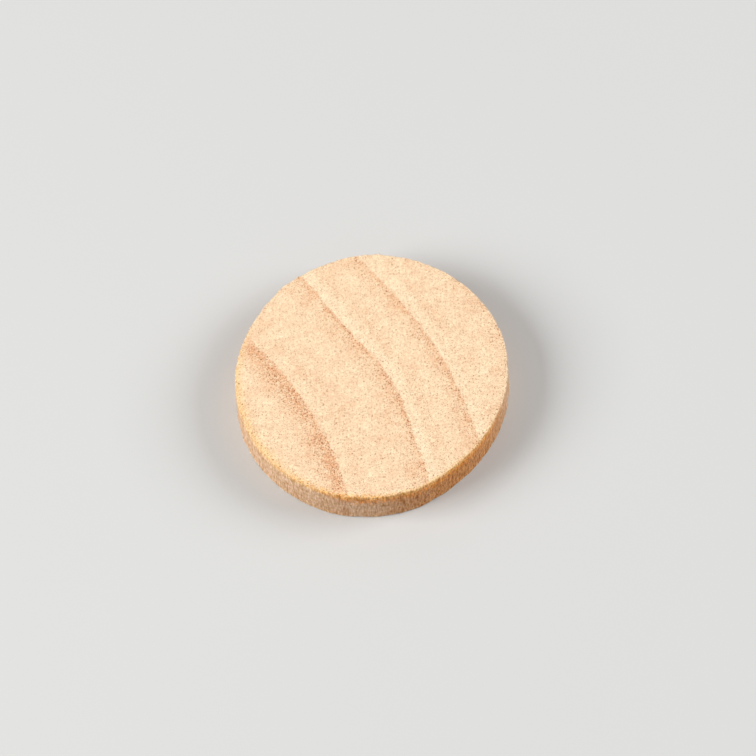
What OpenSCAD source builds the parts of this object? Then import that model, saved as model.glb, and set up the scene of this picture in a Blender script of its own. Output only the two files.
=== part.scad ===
// Plain round game disc, made from one piece of hardwood.
// It is a slice cut across a round rod, so the two flat faces show end grain
// and the rim shows the long grain, which runs parallel to Z.
// The origin is at the centre of the lower face, and +Z is the disc's axis.

/* [Disc] */
// Diameter over the rim
disc_d = 25; // [15:0.5:50]
// Thickness from face to face
disc_t = 4; // [2.5:0.1:10]

/* [Edges] */
// Radius that sanding leaves on the edge of the upper face
upper_edge_r = 0.15; // [0.05:0.05:1]
// Radius that sanding leaves on the edge of the lower face
lower_edge_r = 0.15; // [0.05:0.05:1]

/* [Hidden] */
// Radius over the rim
disc_r = disc_d / 2;
// Level at which the rim's straight wall ends and the upper rounding starts
wall_top_z = disc_t - upper_edge_r;
// Sides of a circle in the preview
$fn = 180;

// Half of the disc's cross-section: two rounded corners, joined by the straight wall
// and filled in towards the axis.
module half_section() {
    translate([disc_r - lower_edge_r, lower_edge_r])
        circle(r = lower_edge_r);
    translate([disc_r - upper_edge_r, wall_top_z])
        circle(r = upper_edge_r);
    translate([0, lower_edge_r])
        square([disc_r, wall_top_z - lower_edge_r]);
    square([disc_r - lower_edge_r, lower_edge_r]);
    translate([0, wall_top_z])
        square([disc_r - upper_edge_r, upper_edge_r]);
}

// The whole object: one solid piece of wood, turned about Z
module disc() {
    color([0.93, 0.80, 0.63])
        rotate_extrude()
            half_section();
}

disc();
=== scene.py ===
# %% [markdown]
# # A wooden game disc, sliced from a rod
#
# The real object is one slice of a turned hardwood rod, sawn across the grain and sanded.
# Wood is the same stuff all the way through, so this lesson builds it that way: one closed
# surface for the shape, and one solid pattern for the wood. Where the surface cuts the pattern
# across the grain it shows dots and arcs, and where it cuts along the grain it shows streaks.
#
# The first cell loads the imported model, which fixes the size and the place of everything.

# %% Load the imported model
import math

import bpy
import numpy as np
from mathutils import Matrix, Vector


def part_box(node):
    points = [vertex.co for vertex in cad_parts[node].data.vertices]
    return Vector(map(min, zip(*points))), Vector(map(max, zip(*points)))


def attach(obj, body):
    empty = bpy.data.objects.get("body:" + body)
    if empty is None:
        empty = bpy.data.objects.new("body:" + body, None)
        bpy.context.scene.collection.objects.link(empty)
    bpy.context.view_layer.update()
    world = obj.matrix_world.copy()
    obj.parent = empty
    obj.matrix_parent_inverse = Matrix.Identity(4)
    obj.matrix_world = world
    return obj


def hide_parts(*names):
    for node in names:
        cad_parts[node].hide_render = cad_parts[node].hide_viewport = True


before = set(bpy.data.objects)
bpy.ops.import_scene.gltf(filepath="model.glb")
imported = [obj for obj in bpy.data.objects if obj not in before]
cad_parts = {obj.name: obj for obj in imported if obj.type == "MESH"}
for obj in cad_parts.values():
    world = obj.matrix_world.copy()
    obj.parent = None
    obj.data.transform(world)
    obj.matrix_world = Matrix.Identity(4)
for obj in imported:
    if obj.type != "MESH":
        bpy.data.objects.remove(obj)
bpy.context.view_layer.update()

MM = 0.001
low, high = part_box("disc")
radius = (high.x - low.x) / 2 / MM
thickness = (high.z - low.z) / MM
print(f"disc: radius {radius:.2f} mm, thickness {thickness:.2f} mm")

# %% [markdown]
# ## Where the tree's centre was
#
# The rod was cut from the tree well away from the pith, so the growth rings cross the disc as
# shallow arcs. One centre and one radius for each ring describe them. The rings of a real tree
# are not perfect circles: here the middle one swings in and out a little along its length, and
# its neighbours follow it less the farther off they are. The rings could be drawn freehand, but
# then the late wood that stands proud and the late wood that is dark would drift apart. Both the
# shape and the colour use these values, so they are written once, here.

# %% The growth rings
PITH = np.array([-35.7, -18.0])             # mm from the disc's centre
RING_RADII = (33.36, 41.05, 46.42, 52.8)     # mm from the pith, at the outer side of each dark line
PITH_DIRECTION = math.atan2(-PITH[1], -PITH[0])
SWING = 0.25                                # mm that the middle ring swings in and out
SWING_LENGTH = 15.0                         # mm along the ring for one swing
SWING_START = -1.5                          # mm along the ring, where it stands out furthest
SWING_REACH = 7.0                           # mm from the middle ring, where the swing has died out
print(f"the rings open towards {math.degrees(PITH_DIRECTION):.0f} degrees")

# %% [markdown]
# ## Band-limited roughness
#
# Sawn and sanded wood is uneven at several scales. A sum of a few dozen plane waves with random
# directions and phases gives a smooth field of one chosen scale. It is evaluated in space, so it
# has no seam where the rim closes on itself, and a fixed seed gives the same disc each time.

# %% Waves in space
def ripple(points, wavelengths, seed, waves=40):
    """Sum over waves of cos(k . p + phase), scaled to an rms of 1. k is a random direction whose
    parts are 2 pi over the wavelength along x, y and z."""
    rng = np.random.default_rng(seed)
    k = rng.normal(size=(waves, 3)) * 2 * np.pi / np.array(wavelengths, float)
    phase = rng.uniform(0, 2 * np.pi, waves)
    return np.cos(points @ k.T + phase).sum(axis=1) * math.sqrt(2 / waves)

# %% [markdown]
# ## The outline
#
# The rod was turned round while it was damp. Wood shrinks about twice as much along its rings as
# across them, so the dried disc is a little oval, longest roughly towards the pith. Smaller lobes come
# from the turning. A plain cylinder, stretched along one axis, would give the oval but none of
# the rest. So the outline is a formula: a cosine for each lobe added to the nominal radius, and
# then a few soft corners and flats where the rod was knocked or sanded. One side was sanded more
# at the bottom than at the top, so there the wall leans out by a little over a tenth of a
# millimetre.

# %% Rim radius at each azimuth
LOBES = (  # lobes round the rim, mm of height, azimuth of one crest in degrees
    (2, 0.229, 47.8),
    (3, 0.068, 8.6),
    (4, 0.056, 2.5),
)
CORNERS = (  # azimuth in degrees, mm of height (flats are negative), half width in degrees
    (127, 0.12, 4),
    (146, -0.07, 5),
    (106, -0.06, 6),
    (-73, 0.07, 5),
    (-52, -0.05, 6),
    (-96, -0.04, 6),
    (175, 0.05, 6),
)
LEAN = 0.13                                 # mm that the upper edge overhangs the lower one
LEAN_MIDDLE = math.radians(-58)
LEAN_WIDTH = math.radians(38)


def turn_between(a, b):
    """Smallest signed turn from b to a, from -pi to pi."""
    return (a - b + np.pi) % (2 * np.pi) - np.pi


def rim_radius(azimuth, height_share):
    """Nominal radius, plus height times cos(lobes times the turn from the crest) for each lobe,
    plus a bell of that height and half width for each corner or flat, plus the lean."""
    lean = LEAN * np.exp(-(turn_between(azimuth, LEAN_MIDDLE) / LEAN_WIDTH) ** 2)
    r = radius + lean * height_share
    for lobes, height, crest in LOBES:
        r += height * np.cos(lobes * (azimuth - math.radians(crest)))
    for middle, height, width in CORNERS:
        turn = turn_between(azimuth, math.radians(middle)) / math.radians(width)
        r += height * np.exp(-turn ** 2)
    return r


azimuths = np.linspace(0, 2 * np.pi, 720, endpoint=False)
across = rim_radius(azimuths, 0.0) + rim_radius(azimuths + np.pi, 0.0)
print(f"diameter from {across.min():.2f} to {across.max():.2f} mm")

# %% [markdown]
# ## The surface as rings of points
#
# The faces could be fans of thin triangles that meet in the middle, but those shade badly.
# Instead a square grid is squeezed into the circle: the distance from the square's centre becomes
# the radius, and the place along the square's side becomes the azimuth. The grid's border is then
# one even ring of points. The rim is a second grid that joins the upper border to the lower one,
# by way of the upper rounding, the straight wall and the lower rounding.

# %% Grid of one face
SIDE = 160                                  # steps along each side of the square grid
AROUND = 4 * SIDE                           # points round the rim


def face_grid():
    """Share of the radius and azimuth of each grid point: the larger of |u| and |v|, and a quarter
    turn's share of the smaller over the larger, counted from the nearest side's middle."""
    u, v = np.meshgrid(np.linspace(-1, 1, SIDE + 1), np.linspace(-1, 1, SIDE + 1), indexing="xy")
    u, v = u.ravel(), v.ravel()
    wide = np.abs(u) >= np.abs(v)
    share = np.where(wide, np.abs(u), np.abs(v))
    big = np.where(wide, u, v)
    big = np.where(big == 0, 1, big)
    small = np.where(wide, v, u)
    tilt = np.pi / 4 * small / big
    azimuth = np.where(wide, tilt + np.where(u < 0, np.pi, 0),
                       np.pi / 2 - tilt + np.where(v < 0, np.pi, 0))
    return share, azimuth


def border():
    """Indices of the grid's border points, anticlockwise from the lower left corner."""
    n = SIDE + 1
    step = np.arange(SIDE)
    return np.concatenate([step, SIDE + step * n, n * n - 1 - step, n * SIDE - step * n])


share, face_azimuth = face_grid()
rim_azimuth = face_azimuth[border()]
print(f"{len(share)} points on each face, {AROUND} round the rim")

# %% [markdown]
# ## Edges, wall and faces in one list of points
#
# Sanding leaves the edges soft: a small quarter circle whose radius wanders along the rim. A
# Bevel modifier would make it the same width everywhere, so the rounding is worked out here.
# Every point gets a place, an outward direction and two tags. `side` says how far the surface has
# turned from face to wall. `past_edge` is the distance along the surface from the middle of the
# nearest edge, in millimetres: above zero on the wall and below zero on a face.

# %% Places, outward directions and tags
EDGE_RADIUS = 0.15                          # mm, as on the CAD solid
EDGE_WANDER = 0.22                          # share by which it wanders
EDGE_WANDER_LENGTH = 5                      # mm
EDGE_STEPS, WALL_STEPS = 7, 36
FACE_CROWDING = 1.35                        # above 1 the face's rings of points crowd to the edge


def spoke(azimuth):
    """Unit vectors (cos, sin, 0) at each azimuth."""
    return np.stack([np.cos(azimuth), np.sin(azimuth), np.zeros_like(azimuth)], axis=-1)


def edge_radius(azimuth, level):
    """Edge radius times one plus a small wandering share, different on the two levels."""
    wander = ripple(spoke(azimuth) * radius, [EDGE_WANDER_LENGTH] * 3, 11 + level)
    return EDGE_RADIUS * (1 + EDGE_WANDER * wander)


def face_points(level):
    """level 1 is the upper face and 0 the lower one. Along the spoke the place is the border's
    radius times 1 - (1 - share) ** FACE_CROWDING, and outward is up or down."""
    inner = rim_radius(face_azimuth, level) - edge_radius(face_azimuth, level)
    reach = inner * (1 - (1 - share) ** FACE_CROWDING)
    place = spoke(face_azimuth) * reach[:, None]
    place[:, 2] = level * thickness
    outward = np.zeros_like(place)
    outward[:, 2] = 2 * level - 1
    return place, outward, np.zeros(len(place)), reach - inner - EDGE_RADIUS * np.pi / 4


def rim_points():
    """Rows from just below the upper border to just above the lower one. On a rounding, the place
    is its centre plus radius times (sin q, cos q) for q from 0 to a quarter turn."""
    upper, lower = edge_radius(rim_azimuth, 1), edge_radius(rim_azimuth, 0)
    quarter = np.linspace(0, np.pi / 2, EDGE_STEPS + 1)[1:]
    down = np.linspace(0, 1, WALL_STEPS + 1)[1:-1]
    turn = np.concatenate([quarter, np.full(len(down), np.pi / 2), quarter[::-1]])
    rows = len(turn)
    is_upper, is_lower = np.arange(rows) < EDGE_STEPS, np.arange(rows) >= rows - EDGE_STEPS
    wall_share = np.concatenate([np.zeros(EDGE_STEPS), down, np.ones(EDGE_STEPS)])[:, None]
    bend = np.where(is_upper[:, None], upper, np.where(is_lower[:, None], lower, 0.0))
    out, rise = np.sin(turn)[:, None], np.cos(turn)[:, None]
    height = (thickness - upper) * (1 - wall_share) + lower * wall_share
    sign = np.where(is_upper, 1, np.where(is_lower, -1, 0))[:, None]
    height = height + sign * bend * rise
    reach = rim_radius(rim_azimuth[None, :], height / thickness) - bend * (1 - out)
    direction = np.broadcast_to(spoke(rim_azimuth), (rows, AROUND, 3))
    place = direction * reach[..., None]
    place[..., 2] = height
    outward = direction * out[..., None]
    outward[..., 2] = sign * rise
    tag = np.broadcast_to(out, (rows, AROUND))
    past_edge = np.minimum(thickness - height, height) - EDGE_RADIUS
    past_edge = np.where(sign == 0, past_edge + EDGE_RADIUS * np.pi / 4,
                         EDGE_RADIUS * (turn[:, None] - np.pi / 4))
    return place.reshape(-1, 3), outward.reshape(-1, 3), tag.ravel(), past_edge.ravel()


parts = [face_points(1), rim_points(), face_points(0)]
place, outward = (np.concatenate([p[i] for p in parts]) for i in (0, 1))
side, past_edge = (np.concatenate([p[i] for p in parts]) for i in (2, 3))
print(f"{len(place)} points, lowest {place[:, 2].min():.3f} mm, highest {place[:, 2].max():.3f} mm")

# %% [markdown]
# ## Relief
#
# What a fingertip feels is made in the mesh: fibres that stand up along the wall, faint rings
# left round it by the turning tool, faces that roll off towards the edge, hard late wood that
# stands a few microns proud, nicks and burrs where the edge tore, and a few loose fibres that
# stick out from it. A Displace modifier could push the points too, but it knows nothing of the
# edge or the rings. Here each is a height in millimetres along the outward direction, and they
# simply add up.

# %% Heights along the outward direction
FIBRE_HEIGHT = 0.004                        # mm, as are all heights here
TOOL_HEIGHT = 0.005
FACE_HEIGHT = 0.006
FACE_SINK = 2.5                             # times the face height, so that few points pass the top
ROLL_OFF, ROLL_OFF_WIDTH = 0.030, 0.45
NICKS, BURRS = 150, 50
UPPER_SHARE = 0.6                           # of the nicks and burrs, the rest are on the lower edge
TORN_WIDTHS = (0.06, 0.30)                  # mm along the rim
TORN_DEPTHS = (0.015, 0.075)
BURR_SHARE = 1.1                            # height of a burr over the depth of a nick
TORN_REACH = 0.22                           # mm that a nick reaches over the edge


def ring_distances(points):
    """Distance from the pith less the swing, which is a cosine of the distance along the ring."""
    x, y = points[:, 0] - PITH[0], points[:, 1] - PITH[1]
    along = (points[:, 1] * math.cos(PITH_DIRECTION) - points[:, 0] * math.sin(PITH_DIRECTION))
    distance = np.hypot(x, y)
    share = np.clip(1 - np.abs(distance - RING_RADII[1]) / SWING_REACH, 0, 1)
    swing = SWING * share * np.cos(2 * np.pi * (along - SWING_START) / SWING_LENGTH)
    return distance - swing


LATE_RISE = 0.6                             # mm over which the hard late wood rises


def late_wood(points):
    """1 at the outer side of each ring, and towards the pith exp(-distance / LATE_RISE)."""
    distance = ring_distances(points)
    rise = [np.exp(-np.maximum(0, r - distance) / LATE_RISE) * (distance <= r) for r in RING_RADII]
    return np.max(rise, axis=0)


WHISKERS = (  # torn fibres that stand out from the upper edge: azimuth in degrees, mm of height
    (92.1, 0.05),
    (89.4, 0.07),
    (86.8, 0.06),
    (84.9, 0.10),
    (83.2, 0.13),
)
WHISKER_WIDTH = 0.07                        # mm along the rim


def torn_edge(points, closeness):
    """Bells along the azimuth: inward for each nick and outward for each burr, at random places
    on the upper and the lower edge, and outward for each whisker on the upper edge."""
    rng = np.random.default_rng(5)
    count = NICKS + BURRS
    where = rng.uniform(-np.pi, np.pi, count)
    width = rng.uniform(*TORN_WIDTHS, count) / radius
    depth = rng.uniform(*TORN_DEPTHS, count) * np.where(np.arange(count) < NICKS, -1, BURR_SHARE)
    upper = rng.uniform(size=count) < UPPER_SHARE
    where = np.append(where, np.radians([azimuth for azimuth, _ in WHISKERS]))
    width = np.append(width, np.full(len(WHISKERS), WHISKER_WIDTH / radius))
    depth = np.append(depth, [height for _, height in WHISKERS])
    upper = np.append(upper, np.full(len(WHISKERS), True))
    azimuth = np.arctan2(points[:, 1], points[:, 0])[:, None]
    near = np.exp(-(turn_between(azimuth, where) / width) ** 2)
    same_edge = (points[:, 2:3] > thickness / 2) == upper
    return (near * same_edge * depth).sum(axis=1) * closeness


closeness = np.exp(-(past_edge / TORN_REACH) ** 2)
on_face = 1 - side
fibres = ripple(place, (0.45, 0.45, 6.0), seed=21, waves=60)
fibres += 0.6 * ripple(place, (0.9, 0.9, 9.0), seed=22, waves=60)
tool_rings = ripple(place, (60, 60, 0.45), seed=23) + ripple(place, (40, 40, 0.2), seed=24)
hollows = ripple(place, (7, 7, 7), seed=25)
height = side * (FIBRE_HEIGHT * fibres + TOOL_HEIGHT * tool_rings)
height += on_face * FACE_HEIGHT * (hollows + late_wood(place) - FACE_SINK)
height -= on_face * ROLL_OFF * np.exp(past_edge / ROLL_OFF_WIDTH)
height += torn_edge(place, closeness)
shaped = place + outward * height[:, None]
shaped[:, 2] = np.clip(shaped[:, 2], 0, thickness)
print(f"relief from {height.min():.3f} to {height.max():.3f} mm")

# %% [markdown]
# ## Faces of the mesh
#
# The faces and the rim could be three meshes that are merged where they meet, but merging by
# distance would also swallow the finest nicks. Instead each grid's cells are found from the
# numbers of their corners. The upper face turns anticlockwise seen from above and the lower face
# the other way, so every face points outwards, and the rim's rows share their first and last
# points with the two borders, so the skin is closed.

# %% Join the points into one closed skin
def face_cells(first, flip):
    """Corner numbers of the square grid's cells, anticlockwise, or clockwise if flipped."""
    n = SIDE + 1
    corner = (np.arange(SIDE)[:, None] * n + np.arange(SIDE)[None, :]).ravel() + first
    cells = np.stack([corner, corner + 1, corner + n + 1, corner + n], axis=1)
    return cells[:, ::-1] if flip else cells


def rim_cells(rows):
    """Corner numbers between each row of points and the next, closed on itself."""
    here, below = rows[:-1], rows[1:]
    return np.stack([here, below, np.roll(below, -1, 1), np.roll(here, -1, 1)], -1).reshape(-1, 4)


points_per_face = len(share)
rim_row_count = len(parts[1][0]) // AROUND
rim_first = points_per_face
lower_first = rim_first + rim_row_count * AROUND
middle_rows = rim_first + np.arange(rim_row_count * AROUND).reshape(rim_row_count, AROUND)
rows = np.vstack([border(), middle_rows, border() + lower_first])
cells = np.vstack([face_cells(0, False), rim_cells(rows), face_cells(lower_first, True)])
print(f"{len(cells)} cells, {2 * len(cells)} triangles")

# %% Put the skin into a mesh
mesh = bpy.data.meshes.new("turned_disc")
mesh.from_pydata((shaped * MM).tolist(), [], cells.tolist())
mesh.polygons.foreach_set("use_smooth", np.ones(len(cells), bool))
side_tag = mesh.attributes.new("side", "FLOAT", "POINT")
side_tag.data.foreach_set("value", side.astype(np.float32))
edge_tag = mesh.attributes.new("past_edge", "FLOAT", "POINT")
edge_tag.data.foreach_set("value", past_edge.astype(np.float32))
mesh.validate()
mesh.update()
disc = bpy.data.objects.new("turned_disc", mesh)
bpy.context.scene.collection.objects.link(disc)
span = shaped.max(axis=0) - shaped.min(axis=0)
print("disc of " + " x ".join(f"{s:.2f}" for s in span) + " mm")

# %% [markdown]
# ## The wood as a solid pattern
#
# A wood texture could be wrapped round the disc, but the faces and the wall would not agree where
# they meet. So the material is worked out from the point's place in the block of wood. First come
# small helpers that add a node and join it up, so that each later cell reads like a formula.
# Lengths inside the material are millimetres.

# %% Helpers for node formulas
wood = bpy.data.materials.new("sanded_hardwood")
wood.use_nodes = True
tree = wood.node_tree
tree.nodes.clear()


def node(kind, inputs=(), **settings):
    """Adds a shader node. inputs is a dict from socket to a value or to another node's output."""
    made = tree.nodes.new("ShaderNode" + kind)
    for name, value in settings.items():
        setattr(made, name, value)
    for socket, value in dict(inputs).items():
        if isinstance(value, bpy.types.NodeSocket):
            tree.links.new(value, made.inputs[socket])
        else:
            made.inputs[socket].default_value = value
    return made


def calc(operation, *values):
    """One Math node on numbers or outputs."""
    return node("Math", dict(enumerate(values)), operation=operation).outputs[0]


def step_between(value, start, end, low=0.0, high=1.0):
    """Eases smoothly from low to high as value goes from start to end."""
    sockets = {"Value": value, "From Min": start, "From Max": end, "To Min": low, "To Max": high}
    return node("MapRange", sockets, interpolation_type="SMOOTHSTEP").outputs["Result"]


def vector(x, y, z):
    """A vector from three numbers or outputs."""
    return node("CombineXYZ", {"X": x, "Y": y, "Z": z}).outputs[0]


def blend(amount, first, second, kind="MIX"):
    """Mixes two colours."""
    mixed = node("Mix", {0: amount, 6: first, 7: second}, data_type="RGBA", blend_type=kind)
    return mixed.outputs[2]


def noise(at, scale=1.0, detail=2.0, roughness=0.5):
    """Noise from 0 to 1 at a vector. Scale is in cells for each unit of the vector."""
    sockets = {"Vector": at, "Scale": scale, "Detail": detail, "Roughness": roughness}
    return node("TexNoise", sockets, noise_dimensions="3D").outputs["Fac"]


def stretched(at, x, y, z):
    """The vector with each part multiplied."""
    return node("Mapping", {"Vector": at, "Scale": (x, y, z)}).outputs[0]


# %% Place in the block, in millimetres
object_place = node("TexCoord").outputs["Object"]
at_mm = stretched(object_place, 1 / MM, 1 / MM, 1 / MM)
split = node("SeparateXYZ", {0: at_mm})
x_mm, y_mm, z_mm = split.outputs
side_share = node("Attribute", attribute_name="side").outputs["Fac"]
edge_distance = node("Attribute", attribute_name="past_edge").outputs["Fac"]
print(f"{len(tree.nodes)} nodes give the place in the block")

# %% [markdown]
# ## Growth rings
#
# Each ring darkens slowly on the pith's side and stops sharply on the outer side, where the
# tree paused for winter. Just past the stop the new wood is at its palest, and a second, much
# fainter tone follows a little farther out. Rings painted on the face would not run down the
# wall. A colour ramp over the distance from the pith draws all the rings at once through the
# whole block instead: its colour is the dark wood and its alpha the pale band.
# The dark wood is then broken into patches and grains, because it is made of cells and pores.

# %% Distance from the pith
along_ring = calc("SUBTRACT", calc("MULTIPLY", y_mm, math.cos(PITH_DIRECTION)),
                  calc("MULTIPLY", x_mm, math.sin(PITH_DIRECTION)))
from_pith_x = calc("SUBTRACT", x_mm, float(PITH[0]))
from_pith_y = calc("SUBTRACT", y_mm, float(PITH[1]))
pith_distance = node("VectorMath", {0: vector(from_pith_x, from_pith_y, 0.0)},
                     operation="LENGTH").outputs["Value"]
swing_turn = calc("MULTIPLY", calc("SUBTRACT", along_ring, SWING_START), 2 * math.pi / SWING_LENGTH)
from_middle_ring = calc("ABSOLUTE", calc("SUBTRACT", pith_distance, RING_RADII[1]))
swing_share = node("MapRange", {"Value": from_middle_ring, "From Min": 0.0, "From Max": SWING_REACH,
                                "To Min": SWING, "To Max": 0.0}).outputs["Result"]
swing = calc("MULTIPLY", calc("COSINE", swing_turn), swing_share)
SLOW_WARP, FINE_WARP = 0.45, 0.55           # mm that the rings stray, slowly and cell by cell
slow_warp = calc("MULTIPLY", calc("SUBTRACT", noise(at_mm, 0.35), 0.5), SLOW_WARP)
fine_warp = calc("MULTIPLY", calc("SUBTRACT", noise(at_mm, 2.2, detail=3.0, roughness=0.7), 0.5), FINE_WARP)
ring_distance = calc("SUBTRACT", pith_distance, swing)
ring_distance = calc("ADD", ring_distance, calc("ADD", slow_warp, fine_warp))
print(f"{len(tree.nodes)} nodes with the distance from the pith")

# %% The dark late wood
LATE_WOOD = (  # for each ring: how dark it gets, mm it takes to darken, mm of the darkest line
    (0.98, 2.7, 1.30),
    (0.86, 2.3, 0.50),
    (0.72, 1.8, 0.55),
    (0.55, 2.3, 0.60),
)
PALE_AFTER = (0.0, 1.0, 0.7, 0.5)           # for each ring: how pale the early wood after it is
WINTER_STOP = 0.12                          # mm in which the dark line ends
ECHO = 0.26                                 # how dark the faint tone is that follows
ECHO_START, ECHO_PEAK, ECHO_END = 0.9, 1.6, 2.6     # mm past the dark line
RAMP_START, RAMP_LENGTH = 26.0, 28.0        # mm from the pith
MOST_STOPS = 32                             # that a colour ramp can hold


def ring_stops(width, line):
    """For one ring: mm past the dark line, darkness and paleness of each stop of the ramp."""
    return (
        (-width, 0.0, 0.0),
        (-line, 0.55, 0.0),
        (-0.5 * line, 1.0, 0.0),
        (-0.02, 0.92, 0.0),
        (WINTER_STOP, 0.0, 1.0),
        (ECHO_START, 0.0, 0.9),
        (ECHO_PEAK, ECHO, 0.1),
        (ECHO_END, 0.0, 0.0),
    )


def late_wood_ramp():
    """Colour: for each ring a soft rise to its darkness, a sharp fall to black and a faint rise and
    fall after it. Alpha: the pale band that starts at the sharp fall."""
    share = calc("DIVIDE", calc("SUBTRACT", ring_distance, RAMP_START), RAMP_LENGTH)
    ramp = node("ValToRGB", {"Fac": share})
    stops = ramp.color_ramp.elements
    stops[0].position, stops[0].color = 0.0, (0, 0, 0, 0)
    stops[1].position, stops[1].color = 1.0, (0, 0, 0, 0)
    for ring, (darkness, width, line), pale in zip(RING_RADII, LATE_WOOD, PALE_AFTER):
        for offset, level, paleness in ring_stops(width, line):
            position = (ring + offset - RAMP_START) / RAMP_LENGTH
            if 0 < position < 1 and len(stops) < MOST_STOPS:
                stop = stops.new(position)
                grey = level * darkness
                stop.color = (grey, grey, grey, pale * paleness)
    return ramp.outputs["Color"], ramp.outputs["Alpha"]


PATCH_LOW = 0.55                            # share of its darkness that is left in pale patches
GRAIN_BASE, GRAIN_SWING = 0.32, 1.15        # of its darkness: left between grains, added by a grain
patches = step_between(noise(at_mm, 0.6), 0.32, 0.60, PATCH_LOW, 1.0)
late_ramp, pale_band = late_wood_ramp()
late = calc("MULTIPLY", late_ramp, patches)
late_grain = noise(stretched(at_mm, 3.4, 3.4, 0.4), detail=3.0, roughness=0.75)
late_grain = step_between(late_grain, 0.36, 0.66)
grain_share = calc("ADD", GRAIN_BASE, calc("MULTIPLY", late_grain, GRAIN_SWING))
dotted_late = calc("MULTIPLY", late, grain_share)
print(f"{len(tree.nodes)} nodes with the late wood of {len(RING_RADII)} rings")

# %% [markdown]
# ## Pores, rays and fibres
#
# Hardwood carries water in long tubes. Cut across they are dark dots, cut along they are fine
# scratches. A flat cell pattern over x and y, pushed about slowly with height, gives tubes that
# wander along the grain, which dots scattered on the surface would not do. Rays are thin ribbons
# that run out from the pith: a noise that is squeezed along the ring and stretched across it.
# Fibres are a noise stretched along the grain, and mottle is a coarse one of several sizes.

# %% Pores as wandering tubes
WANDER = 0.5                                # mm that a tube strays sideways
wander_place = stretched(at_mm, 0.6, 0.6, 0.12)
wander = node("TexNoise", {"Vector": wander_place, "Scale": 1.0, "Detail": 1.0},
              noise_dimensions="3D").outputs["Color"]
wander = node("VectorMath", {0: wander, 1: (0.5, 0.5, 0.5)}, operation="SUBTRACT").outputs[0]
wander = node("VectorMath", {0: wander, "Scale": WANDER}, operation="SCALE").outputs[0]
tube_place = node("VectorMath", {0: at_mm, 1: wander}, operation="ADD").outputs[0]


LATE_PORES = 0.42                           # how much likelier a pore is in the darkest late wood
BARELY_OPEN = 0.3                           # share of the open pores that are only half drawn
SHALLOWEST = 0.40                           # depth of the shallowest pore, where the deepest is 1


def pores(cells_per_mm, core, rim, share_open, offset):
    """1 inside a pore and 0 outside. A pore is the middle of a cell, from core to rim in cell
    widths, and only a share of the cells has one. Each pore has its own depth."""
    moved = node("Mapping", {"Vector": tube_place, "Location": (offset, offset, 0)}).outputs[0]
    cell = node("TexVoronoi", {"Vector": moved, "Scale": cells_per_mm, "Randomness": 1.0},
                voronoi_dimensions="2D", feature="F1")
    lottery = node("SeparateColor", {0: cell.outputs["Color"]})
    more_in_late_wood = calc("ADD", lottery.outputs[0], calc("MULTIPLY", late, LATE_PORES))
    fully_open = share_open * (1 - BARELY_OPEN)
    drawn = step_between(more_in_late_wood, 1 - share_open, 1 - fully_open)
    depth = calc("ADD", SHALLOWEST, calc("MULTIPLY", lottery.outputs[1], 1 - SHALLOWEST))
    dot = step_between(cell.outputs["Distance"], core, rim, 1.0, 0.0)
    return calc("MULTIPLY", dot, calc("MULTIPLY", drawn, depth))


fine_pores = pores(cells_per_mm=6.5, core=0.16, rim=0.46, share_open=0.60, offset=0.0)
middle_pores = pores(cells_per_mm=3.3, core=0.09, rim=0.27, share_open=0.55, offset=3.7)
wide_pores = pores(cells_per_mm=1.5, core=0.06, rim=0.15, share_open=0.35, offset=7.3)
FINE_DEPTH, MIDDLE_DEPTH = 0.55, 0.85       # where the wide pores' is 1
POLISHED_AWAY = 0.70                        # share of the pores that polishing closed on the wall
all_pores = calc("MAXIMUM", calc("MULTIPLY", fine_pores, FINE_DEPTH),
                 calc("MULTIPLY", middle_pores, MIDDLE_DEPTH))
all_pores = calc("MAXIMUM", all_pores, wide_pores)
left_open = calc("SUBTRACT", 1.0, calc("MULTIPLY", side_share, POLISHED_AWAY))
all_pores = calc("MULTIPLY", all_pores, left_open)
print(f"{len(tree.nodes)} nodes with three sizes of pores")

# %% Rays, fibres and mottle
RAYS_OUT, RAYS_ALONG, RAYS_UP = 0.9, 7.0, 1.3       # steps of the noise in each mm, at the middle ring
ring_angle = calc("ARCTAN2", from_pith_y, from_pith_x)
ray_place = vector(calc("MULTIPLY", pith_distance, RAYS_OUT),
                   calc("MULTIPLY", ring_angle, RING_RADII[1] * RAYS_ALONG),
                   calc("MULTIPLY", z_mm, RAYS_UP))
rays = step_between(noise(ray_place, roughness=0.6), 0.35, 0.68)
fibre = noise(stretched(tube_place, 4.0, 4.0, 0.25), detail=4.0, roughness=0.85)
mottle = noise(stretched(at_mm, 1.0, 1.0, 0.5), 0.55, detail=5.0, roughness=0.68)
print(f"{len(tree.nodes)} nodes with the rays, fibres and mottle")

# %% [markdown]
# ## The burnished edge
#
# The turned rod was polished on its outside, and the edges caught dirt and a little scorch when
# they were sanded. So an orange-brown line runs along the front of the upper edge. It is ragged
# along the grain, grows down the wall on one side and spills over onto the face on another.
# Farther round, beside the darkest ring, a yellow haze spreads onto the face instead.
# Both could be painted on the mesh by hand. Here they are worked out from two things that every
# point knows, its distance past the edge and its direction from the axis, with a noise to fray
# them, so they stay right if the disc's size changes.

# %% Where round the disc
def towards(degrees, start, end):
    """Rises from 0 to 1 as the share of the radius towards that azimuth goes from start to end."""
    direction = (math.cos(math.radians(degrees)), math.sin(math.radians(degrees)), 0.0)
    reach = node("VectorMath", {0: vector(x_mm, y_mm, 0.0), 1: direction},
                 operation="DOT_PRODUCT").outputs["Value"]
    return step_between(calc("DIVIDE", reach, radius), start, end)


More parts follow.
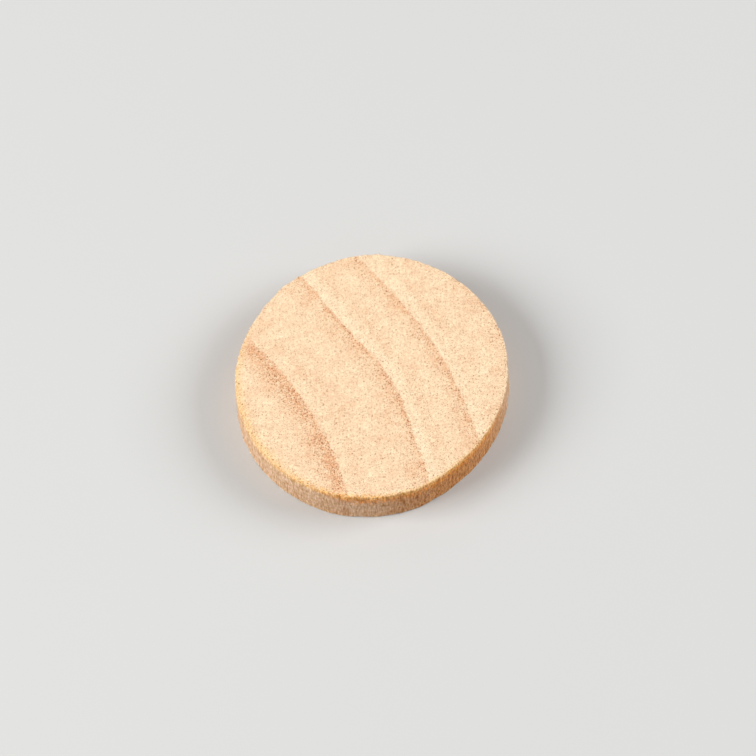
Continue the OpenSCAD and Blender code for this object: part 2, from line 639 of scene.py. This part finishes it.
LOWER_EDGE_SHARE = 0.15                     # how much of the upper edge's colour the lower one has
front_side = towards(-80, 0.20, 0.95)
scorched_side = towards(-62, 0.45, 0.98)
spilled_side = towards(-112, 0.86, 0.99)
hazy_side = towards(-158, 0.50, 0.99)
is_upper = step_between(z_mm, 0.3 * thickness, 0.6 * thickness, LOWER_EDGE_SHARE, 1.0)
ragged = noise(stretched(at_mm, 4.5, 4.5, 3.0), detail=3.0, roughness=0.75)
ragged = step_between(ragged, 0.32, 0.68)
patchy = noise(at_mm, 0.90, detail=4.0, roughness=0.70)
patchy = step_between(patchy, 0.34, 0.56, 0.55, 1.0)
print(f"{len(tree.nodes)} nodes with the sides of the disc")

# %% Scorch below the edge
SCORCH_DOWN = (0.30, 1.55)                  # mm down the wall, where it is thin and where it is wide
SCORCH_START = 0.04                         # mm from the middle of the rounding
SCORCH_RISE = 0.36                          # mm in which it comes up to its full strength
SCORCH_FRAY = 0.40                          # mm that its start wanders with the ragged noise
SCORCH_SPILL = 0.50                         # mm that it reaches back over the edge, at most
scorch_end = step_between(scorched_side, 0.0, 1.0, *SCORCH_DOWN)
scorch_end = calc("MULTIPLY", scorch_end, calc("ADD", 0.45, calc("MULTIPLY", ragged, 0.9)))
down_share = calc("DIVIDE", edge_distance, scorch_end)
fray = calc("MULTIPLY", calc("SUBTRACT", ragged, 0.35), SCORCH_FRAY)
spill = calc("MULTIPLY", calc("MULTIPLY", spilled_side, ragged), SCORCH_SPILL)
scorch_from = calc("SUBTRACT", calc("SUBTRACT", SCORCH_START, fray), spill)
scorch_rise = calc("SUBTRACT", edge_distance, scorch_from)
scorch = calc("MULTIPLY", step_between(down_share, 0.35, 1.30, 1.0, 0.0),
              step_between(scorch_rise, 0.0, SCORCH_RISE))
scorch = calc("MULTIPLY", scorch, calc("MULTIPLY", patchy, front_side))
scorch = calc("MULTIPLY", scorch, is_upper)
print(f"scorch from {SCORCH_DOWN[0]} to {SCORCH_DOWN[1]} mm down the wall")

# %% Haze on the face beside the edge
HAZE_WIDTH, HAZE_SPREAD = 0.34, 0.85        # mm everywhere, and mm more on the hazy side
HAZE_SHARES = (0.15, 0.60, 0.25)            # everywhere, added at the front, added on the hazy side
spread = calc("MULTIPLY", calc("MULTIPLY", hazy_side, ragged), HAZE_SPREAD)
haze_width = calc("ADD", HAZE_WIDTH, spread)
haze_in = step_between(calc("DIVIDE", edge_distance, haze_width), -1.35, -0.15)
haze_end = step_between(hazy_side, 0.0, 1.0, 0.40, 1.10)
haze_out = step_between(edge_distance, 0.10, haze_end, 1.0, 0.0)
haze = calc("MULTIPLY", calc("MULTIPLY", haze_in, haze_out), patchy)
everywhere, at_front, at_hazy = HAZE_SHARES
dirty_side = calc("MAXIMUM", front_side, hazy_side)
haze_share = calc("ADD", everywhere, calc("MULTIPLY", dirty_side, at_front))
haze_share = calc("ADD", haze_share, calc("MULTIPLY", hazy_side, at_hazy))
haze = calc("MULTIPLY", calc("MULTIPLY", haze, haze_share), is_upper)
print(f"{len(tree.nodes)} nodes with the scorch and the haze")

# %% [markdown]
# ## Colour
#
# One flat colour would look like painted card, so many thin layers are blended here instead.
# The colours go on in the order in which they lie in the wood: pale early wood with a warmer
# mottle, the pale band past each ring, the wall, which is polished long grain and greyer, and
# darker than the faces partly in its own tone and partly as painted shade, and the dark late wood.
# Then come the haze, the scorch with its burnt spots, and a painted highlight: a pale line along
# each edge. Last of all, grain makes each of them lighter and darker, and the pores go over
# everything.

# %% One colour for each kind of wood
CREAM = (0.858, 0.662, 0.438, 1)
ROSE = (0.830, 0.578, 0.369, 1)
PALE = (0.875, 0.705, 0.478, 1)
LATE = (0.770, 0.400, 0.210, 1)
PORE = (0.380, 0.160, 0.070, 1)
# The next two wall colours are darker than the face colours, partly in the wood's own tone and partly as
# painted shade
WALL_TONE_AND_SHADE = (0.606, 0.380, 0.228, 1)
WALL_LATE_TONE_AND_SHADE = (0.500, 0.255, 0.125, 1)
WALL_BROWN = (0.510, 0.218, 0.068, 1)
SCORCH_PALE = (0.930, 0.455, 0.118, 1)
SCORCH = (0.800, 0.272, 0.030, 1)
BURNT = (0.330, 0.110, 0.022, 1)
HAZE = (0.850, 0.550, 0.240, 1)
# Painted highlight: the pale colour of the bright line along each edge
EDGE_HIGHLIGHT = (0.910, 0.750, 0.545, 1)
print(f"early wood reflects {CREAM[0]:.0%} of red light and {CREAM[2]:.0%} of blue")

# %% Lay the colours over each other
PALE_STRENGTH, LATE_STRENGTH = 0.60, 0.74
HAZE_STRENGTH, SCORCH_STRENGTH, BURNT_STRENGTH, EDGE_HIGHLIGHT_STRENGTH = 0.70, 0.90, 0.62, 0.70
brown_side = towards(-50, 0.72, 0.99)
colour = blend(step_between(mottle, 0.36, 0.66), CREAM, ROSE)
colour = blend(calc("MULTIPLY", pale_band, PALE_STRENGTH), colour, PALE)
# On the wall the colour turns darker, partly as painted shade
colour = blend(side_share, colour, blend(brown_side, WALL_TONE_AND_SHADE, WALL_BROWN))
late_colour = blend(side_share, LATE, WALL_LATE_TONE_AND_SHADE)
colour = blend(calc("MULTIPLY", dotted_late, LATE_STRENGTH), colour, late_colour)
colour = blend(calc("MULTIPLY", haze, HAZE_STRENGTH), colour, HAZE)
scorch_colour = blend(step_between(edge_distance, 0.15, 0.85), SCORCH_PALE, SCORCH)
colour = blend(calc("MULTIPLY", scorch, SCORCH_STRENGTH), colour, scorch_colour)
burnt = noise(stretched(at_mm, 2.6, 2.6, 1.3), detail=3.0, roughness=0.65)
burnt = step_between(burnt, 0.47, 0.66)
colour = blend(calc("MULTIPLY", calc("MULTIPLY", burnt, scorch), BURNT_STRENGTH), colour, BURNT)
# A painted highlight: a pale line along each edge, weaker on the upper edge at the front and on the hazy
# side, and frayed by the ragged noise
painted_edge_highlight = step_between(calc("ABSOLUTE", edge_distance), 0.04, 0.20, 1.0, 0.0)
painted_edge_highlight = calc("MULTIPLY", painted_edge_highlight, calc("SUBTRACT", 1.0, calc("MULTIPLY", dirty_side, is_upper)))
painted_edge_highlight = calc("MULTIPLY", painted_edge_highlight, calc("ADD", 0.35, calc("MULTIPLY", ragged, 0.65)))
colour = blend(calc("MULTIPLY", painted_edge_highlight, EDGE_HIGHLIGHT_STRENGTH), colour, EDGE_HIGHLIGHT)
print(f"{len(tree.nodes)} nodes with the layers of colour")


# %% Helpers that make a colour vary
def swings(*pairs):
    """The sum of each noise, less its middle value of 0.5, times its strength."""
    total = 0.0
    for pattern, strength in pairs:
        total = calc("ADD", total, calc("MULTIPLY", calc("SUBTRACT", pattern, 0.5), strength))
    return total


def vary(colour, shift, tint):
    """The colour times one plus the shift, with a share of it for each of red, green and blue."""
    parts = [calc("MAXIMUM", calc("ADD", 1.0, calc("MULTIPLY", shift, part)), 0.1) for part in tint]
    return blend(1.0, colour, vector(*parts), "MULTIPLY")


# %% Grain of the faces and of the wall
FACE_TINT = (0.58, 1.00, 1.15)              # how much each of red, green and blue varies
WALL_TINT = (0.72, 1.00, 1.50)
BROWN_GRAIN = 0.35                          # how much stronger the grain is where the wall is brown
tool_lines = noise(stretched(at_mm, 0.7, 0.7, 6.0), roughness=0.65)
specks = noise(stretched(at_mm, 6.2, 6.2, 1.6), roughness=0.60)
clumps = noise(stretched(at_mm, 1.6, 1.6, 0.5), detail=3.0, roughness=0.70)
face_shift = swings((fibre, 1.15), (rays, 0.05), (clumps, 0.45))
wall_shift = swings((fibre, 0.95), (tool_lines, 0.60), (specks, 2.15))
brownness = calc("MULTIPLY", calc("MAXIMUM", brown_side, scorch), BROWN_GRAIN)
wall_shift = calc("MULTIPLY", wall_shift, calc("ADD", 1.0, brownness))
on_wall = calc("MAXIMUM", side_share, scorch)
colour = vary(colour, calc("MULTIPLY", face_shift, calc("SUBTRACT", 1.0, on_wall)), FACE_TINT)
colour = vary(colour, calc("MULTIPLY", wall_shift, on_wall), WALL_TINT)
print(f"{len(tree.nodes)} nodes with the grain")

# %% Pores over everything
PORE_STRENGTH = 0.80                        # in early wood, and in late wood 1 more
EDGE_PORES = 0.5                            # share of that 1 that the pores near an edge get
SMOOTHER = 0.30                             # share that is lost on the side that was sanded finer
near_edge = step_between(calc("ABSOLUTE", edge_distance), 0.10, 0.60, 1.0, 0.0)
deeper = calc("MAXIMUM", late, calc("MULTIPLY", near_edge, EDGE_PORES))
pore_strength = calc("ADD", PORE_STRENGTH, deeper)
smoother_side = towards(110, -0.30, 1.00)
sanded_off = calc("SUBTRACT", 1.0, calc("MULTIPLY", smoother_side, SMOOTHER))
pore_strength = calc("MULTIPLY", pore_strength, sanded_off)
colour = blend(calc("MULTIPLY", all_pores, pore_strength), colour, PORE)
print(f"{len(tree.nodes)} nodes with all the colours")

# %% [markdown]
# ## Roughness and fine bump
#
# Sanded bare wood is dull, and duller where pores are open. The bump carries only what is finer
# than the mesh: the pits of the pores, the rays, the fibres and the sander's scratches. Real
# geometry that fine would need millions of points and would not be seen.

# %% Roughness
ROUGH = 0.66                                # of sanded early wood
ROUGHER_PORES, SMOOTHER_LATE, SMOOTHER_WALL = 0.22, 0.06, 0.08
rough = calc("ADD", ROUGH, calc("MULTIPLY", all_pores, ROUGHER_PORES))
rough = calc("SUBTRACT", rough, calc("MULTIPLY", late, SMOOTHER_LATE))
rough = calc("SUBTRACT", rough, calc("MULTIPLY", side_share, SMOOTHER_WALL))
print(f"roughness from {ROUGH - SMOOTHER_LATE - SMOOTHER_WALL:.2f} to {ROUGH + ROUGHER_PORES:.2f}")

# %% Bump
BUMP_HEIGHT = 0.035                         # mm, of a pore's pit
BUMP_STRENGTH = 0.6
FACE_FIBRES, LESS_ON_WALL = 0.8, 0.6        # height of the fibres over that of a pore's pit
RAY_BUMP, WALL_BUMP, SCRATCH_BUMP = 0.10, 0.3, 0.15
scratch_place = node("Mapping", {"Vector": at_mm, "Rotation": (0, 0, math.radians(35)),
                                 "Scale": (14.0, 0.8, 3.0)}).outputs[0]
scratches = noise(scratch_place, roughness=0.6)
surface = calc("MULTIPLY", all_pores, -1.0)
surface = calc("ADD", surface, calc("MULTIPLY", rays, RAY_BUMP))
fibre_height = calc("SUBTRACT", FACE_FIBRES, calc("MULTIPLY", side_share, LESS_ON_WALL))
surface = calc("ADD", surface, calc("MULTIPLY", fibre, fibre_height))
wall_relief = calc("MULTIPLY", calc("MULTIPLY", wall_shift, side_share), WALL_BUMP)
surface = calc("ADD", surface, wall_relief)
surface = calc("ADD", surface, calc("MULTIPLY", scratches, SCRATCH_BUMP))
bump = node("Bump", {"Strength": BUMP_STRENGTH, "Distance": BUMP_HEIGHT * MM, "Height": surface})
print(f"bump of up to {BUMP_HEIGHT} mm")

# %% Shader
SHINE = 0.20                                # bare wood mirrors less than varnish, which is 0.5
shader = node("BsdfPrincipled", {"Base Color": colour, "Roughness": rough,
                                 "Normal": bump.outputs[0], "Specular IOR Level": SHINE})
node("OutputMaterial", {"Surface": shader.outputs[0]})
mesh.materials.append(wood)
print(f"wood material of {len(tree.nodes)} nodes")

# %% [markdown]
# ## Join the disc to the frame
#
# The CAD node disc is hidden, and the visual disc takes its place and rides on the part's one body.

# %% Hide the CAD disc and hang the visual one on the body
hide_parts("disc")
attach(disc, "root")
print(f"{disc.name} stands for the CAD node disc")

# %% [markdown]
# ## Floor, light and camera
#
# A plain pale sheet to stand on, a soft lamp on the left, a weaker one on the right and an even
# sky. The camera is a very long lens two metres away, so the disc looks nearly as flat as in a
# drawing, and it is tipped a few degrees as if held by hand.

# %% Floor
FLOOR_SIZE = 4.0
half = FLOOR_SIZE / 2
floor_mesh = bpy.data.meshes.new("floor")
floor_mesh.from_pydata([(-half, -half, low.z), (half, -half, low.z), (half, half, low.z),
                        (-half, half, low.z)], [], [(0, 1, 2, 3)])
floor = bpy.data.objects.new("floor", floor_mesh)
bpy.context.scene.collection.objects.link(floor)
paper = bpy.data.materials.new("pale_paper")
paper.use_nodes = True
paper_shader = paper.node_tree.nodes["Principled BSDF"]
paper_shader.inputs["Base Color"].default_value = (0.60, 0.60, 0.59, 1)
paper_shader.inputs["Roughness"].default_value = 0.9
floor_mesh.materials.append(paper)
print(f"floor of {FLOOR_SIZE} m")

# %% Soft lamps and sky
def soft_lamp(name, direction, power, distance=0.6, size=0.35):
    """A square lamp at that distance along the direction, facing the disc, in metres and watts."""
    lamp = bpy.data.lights.new(name, "AREA")
    lamp.size = size
    lamp.energy = power
    holder = bpy.data.objects.new(name, lamp)
    away = Vector(direction).normalized()
    holder.location = away * distance
    holder.rotation_euler = away.to_track_quat("Z", "Y").to_euler()
    bpy.context.scene.collection.objects.link(holder)


LEFT_POWER, RIGHT_POWER = 3.75, 2.5         # watts
SKY_STRENGTH = 0.34
soft_lamp("left", (-0.87, -0.14, 0.6), LEFT_POWER)
soft_lamp("right", (0.87, 0.08, 0.6), RIGHT_POWER)
sky = bpy.data.worlds.new("even_sky")
sky.use_nodes = True
sky.node_tree.nodes["Background"].inputs["Color"].default_value = (1.0, 1.0, 1.0, 1)
sky.node_tree.nodes["Background"].inputs["Strength"].default_value = SKY_STRENGTH
bpy.context.scene.world = sky
bpy.context.scene.view_settings.view_transform = "Standard"
print(f"lamps of {LEFT_POWER} and {RIGHT_POWER} watts under a sky of {SKY_STRENGTH}")

# %% Camera
ELEVATION, ROLL = math.radians(62.2), math.radians(-3.6)
DISTANCE = 2.0                              # m from the disc
FIELD = 69.5                                # mm across the view at the disc
SENSOR = 36.0
AIM_RIGHT, AIM_UP = 0.53, 1.60              # mm from the disc's base to the middle of the view
back = Vector((0, -math.cos(ELEVATION), math.sin(ELEVATION)))
level_right = Vector((1, 0, 0))
level_up = back.cross(level_right)
right = level_right * math.cos(ROLL) + level_up * math.sin(ROLL)
up = level_up * math.cos(ROLL) - level_right * math.sin(ROLL)
base = Vector((0, 0, low.z))
aim = base + (right * AIM_RIGHT + up * AIM_UP) * MM
camera_data = bpy.data.cameras.new("camera")
camera_data.sensor_width = SENSOR
camera_data.lens = SENSOR * DISTANCE / (FIELD * MM)
camera_data.clip_start, camera_data.clip_end = 0.01, 10.0
camera = bpy.data.objects.new("camera", camera_data)
camera.matrix_world = Matrix.Translation(aim + back * DISTANCE) @ Matrix(
    (right, up, back)).transposed().to_4x4()
bpy.context.scene.collection.objects.link(camera)
bpy.context.scene.camera = camera
print(f"lens of {camera_data.lens:.0f} mm at {DISTANCE} m")
